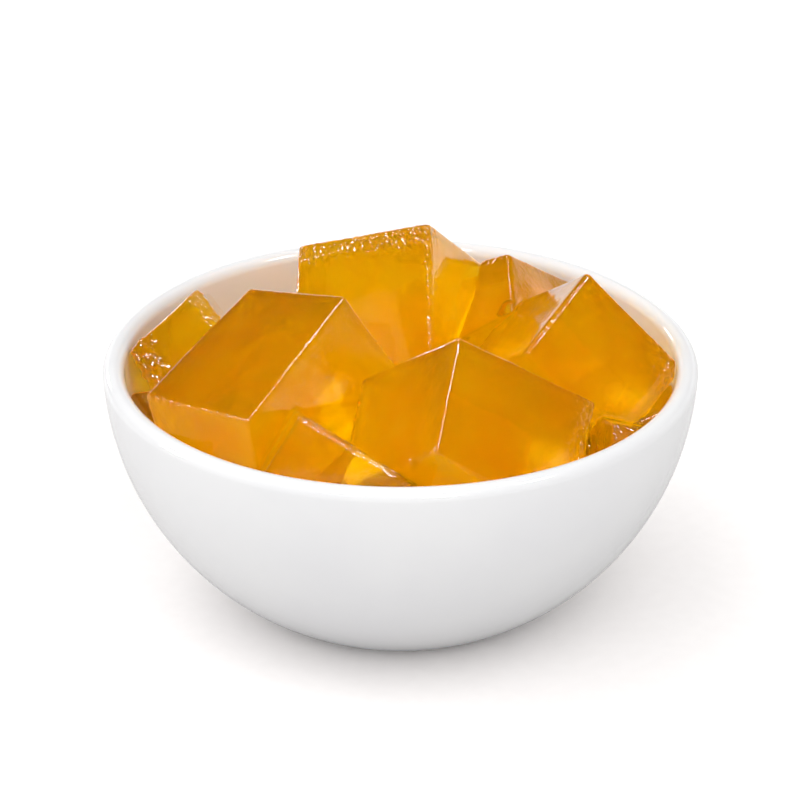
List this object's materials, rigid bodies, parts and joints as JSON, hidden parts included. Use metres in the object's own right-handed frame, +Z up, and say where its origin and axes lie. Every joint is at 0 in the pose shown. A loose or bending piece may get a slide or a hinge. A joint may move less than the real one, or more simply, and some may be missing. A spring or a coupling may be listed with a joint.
{
  "type": "bowl of jelly cubes",
  "caption": "Round white bowl heaped with wet, see-through amber jelly cut into cubes that lie at all angles.",
  "frame": {"origin": "centre of the bowl's foot, on the table", "axes": "+Z up through the bowl's mouth; the camera of the picture looks along +Y and down"},
  "size_m": [0.12, 0.12, 0.0738],
  "materials": {
    "white_ceramic": "satin white glaze",
    "amber_jelly": "wet, see-through"
  },
  "bodies": {
    "root": {"bowl": "white_ceramic", "jelly_front_centre": "amber_jelly", "jelly_front_wedge": "amber_jelly", "jelly_left_front": "amber_jelly", "jelly_right_front": "amber_jelly", "jelly_right_back": "amber_jelly", "jelly_back_centre": "amber_jelly", "jelly_left_back": "amber_jelly", "jelly_back_right": "amber_jelly", "jelly_right_edge": "amber_jelly", "jelly_left_edge": "amber_jelly", "jelly_rear_edge": "amber_jelly", "jelly_bottom_left": "amber_jelly", "jelly_bottom_right": "amber_jelly"}
  },
  "joints": []
}
